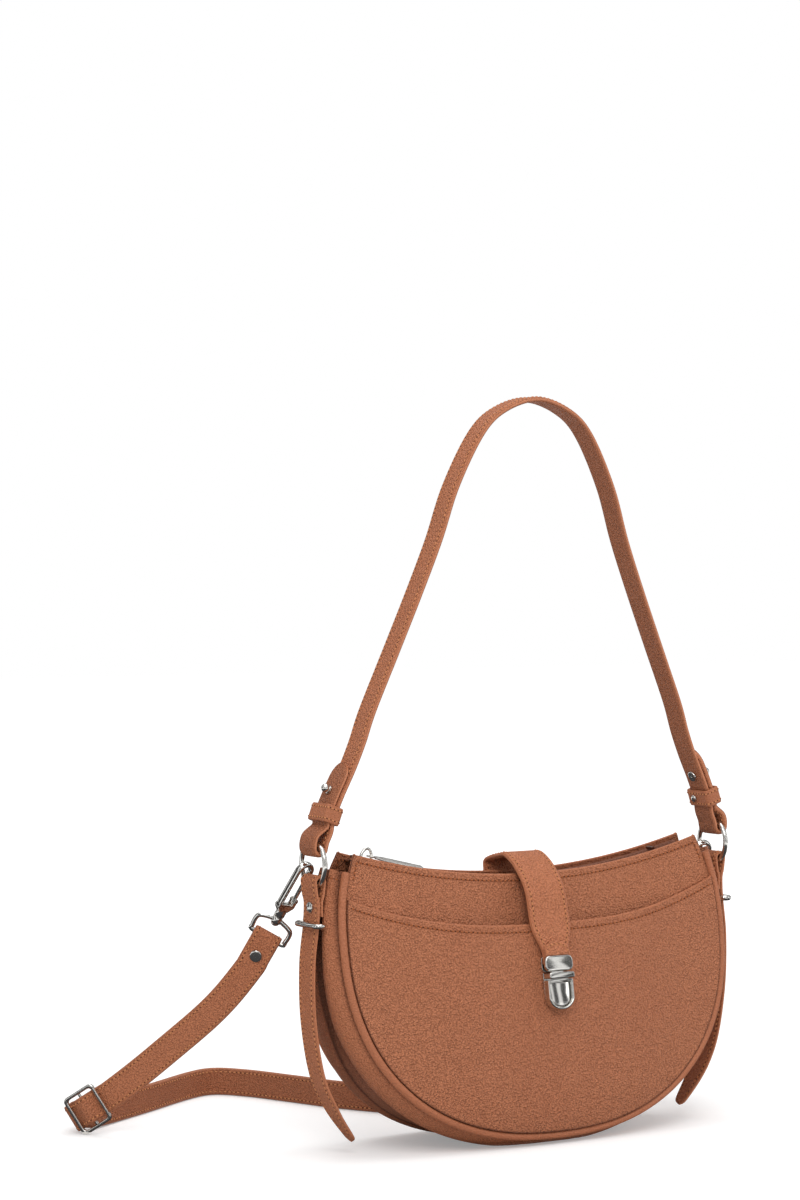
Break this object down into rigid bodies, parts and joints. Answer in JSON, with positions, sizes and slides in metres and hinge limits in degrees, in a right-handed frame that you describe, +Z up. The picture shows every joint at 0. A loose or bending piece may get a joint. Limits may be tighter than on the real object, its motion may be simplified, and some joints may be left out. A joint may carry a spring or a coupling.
{
  "type": "shoulder bag",
  "caption": "Half-moon leather shoulder bag with a front slip pocket, a push-lock flap strap, a handle on side rings and a clip-on crossbody strap",
  "frame": {"origin": "On the floor, under the middle of the bag's flat base.", "axes": "+X to the right seen from the front, the front faces -Y, +Z up."},
  "size_m": [0.4144, 0.2826, 0.4644],
  "materials": {
    "leather": "pebbled tan leather, painted edges",
    "leather_shade": "softer tan leather of the folded side strip",
    "lining": "plain woven brown lining",
    "zip_tape": "brown woven zip tape and coil",
    "nickel": "polished nickel"
  },
  "bodies": {
    "bag": {"front_panel": "leather", "back_panel": "leather", "pocket_panel": "leather", "front_band": "leather", "back_band": "leather", "front_piping": "leather", "back_piping": "leather", "flap_anchor": "leather", "side_tab_left": "leather", "side_tab_right": "leather", "crossbody_strap": "leather", "folded_gusset": "leather_shade", "lining": "lining", "zip_coil_front": "zip_tape", "zip_coil_back": "zip_tape", "zip_tape_front": "zip_tape", "zip_tape_back": "zip_tape", "zip_stop_left": "nickel", "zip_stop_right": "nickel", "lock_base": "nickel", "lock_bar": "nickel", "lock_rim": "nickel", "tab_rivet_left": "nickel", "tab_rivet_right": "nickel", "tab_keeper_left": "nickel", "tab_keeper_right": "nickel", "strap_eye_left": "nickel", "strap_eye_right": "nickel", "strap_rivet_front": "nickel", "strap_rivet_back": "nickel", "strap_slider": "nickel"},
    "zip_slider": {"zip_slider": "nickel"},
    "zip_pull": {"zip_pull": "nickel"},
    "flap": {"flap_strap": "leather", "flap_end_patch": "leather", "lock_plate": "nickel", "lock_clamp": "nickel", "lock_tongue": "nickel"},
    "lock_button": {"lock_button": "nickel"},
    "handle": {"handle_strap": "leather", "handle_band_left": "leather", "handle_band_right": "leather", "ball_stud_left": "nickel", "ball_stud_right": "nickel", "stud_screw_left": "nickel", "stud_screw_right": "nickel", "band_stud_left": "nickel", "band_stud_right": "nickel"},
    "ring_left": {"ring_left": "nickel"},
    "ring_right": {"ring_right": "nickel"},
    "hook_left": {"hook_left": "nickel", "gate_pin_left": "nickel"},
    "hook_right": {"hook_right": "nickel", "gate_pin_right": "nickel"},
    "gate_left": {"gate_left": "nickel"},
    "gate_right": {"gate_right": "nickel"}
  },
  "joints": [
    {"name": "zip_slider_travel", "type": "hinge", "parent": "bag", "child": "zip_slider", "pos_m": [0, 0, 0.6433], "axis": [0, -1, 0], "range_deg": [0, 24.8]},
    {"name": "zip_pull_lift", "type": "hinge", "parent": "zip_slider", "child": "zip_pull", "pos_m": [-0.11073, 0, 0.18063], "axis": [0, -1, 0], "range_deg": [0, 45]},
    {"name": "flap_lift", "type": "hinge", "parent": "bag", "child": "flap", "pos_m": [0, 0.02162, 0.156], "axis": [-1, 0, 0], "range_deg": [0, 140]},
    {"name": "lock_push", "type": "slide", "parent": "bag", "child": "lock_button", "axis": [0, 0.153, 0.9882], "range_m": [0, 0.0018], "stiffness_N_per_m": 200},
    {"name": "handle_swing", "type": "hinge", "parent": "bag", "child": "handle", "pos_m": [0, 0, 0.1778], "axis": [1, 0, 0], "range_deg": [-18, 62]},
    {"name": "ring_left_spin", "type": "hinge", "parent": "bag", "child": "ring_left", "pos_m": [-0.152, 0, 0.1778], "axis": [1, 0, 0], "range_deg": [-180, 180]},
    {"name": "ring_right_spin", "type": "hinge", "parent": "bag", "child": "ring_right", "pos_m": [0.152, 0, 0.1778], "axis": [1, 0, 0], "range_deg": [-180, 180]},
    {"name": "hook_left_swivel", "type": "hinge", "parent": "bag", "child": "hook_left", "pos_m": [-0.16062, 0.02698, 0.14456], "axis": [-0.2702, 0.4603, -0.8456], "range_deg": [-8, 12]},
    {"name": "hook_right_swivel", "type": "hinge", "parent": "bag", "child": "hook_right", "pos_m": [0.15583, 0.02606, 0.14226], "axis": [0.12, 0.45, -0.8849], "range_deg": [-12, 6]},
    {"name": "gate_left_open", "type": "hinge", "parent": "hook_left", "child": "gate_left", "pos_m": [-0.15216, 0.02282, 0.15426], "axis": [0.1754, -0.8401, -0.5134], "range_deg": [0, 26], "stiffness_Nm_per_rad": 0.02},
    {"name": "gate_right_open", "type": "hinge", "parent": "hook_right", "child": "gate_right", "pos_m": [0.14899, 0.02112, 0.15283], "axis": [0.0715, 0.8852, 0.4598], "range_deg": [0, 26], "stiffness_Nm_per_rad": 0.02}
  ]
}
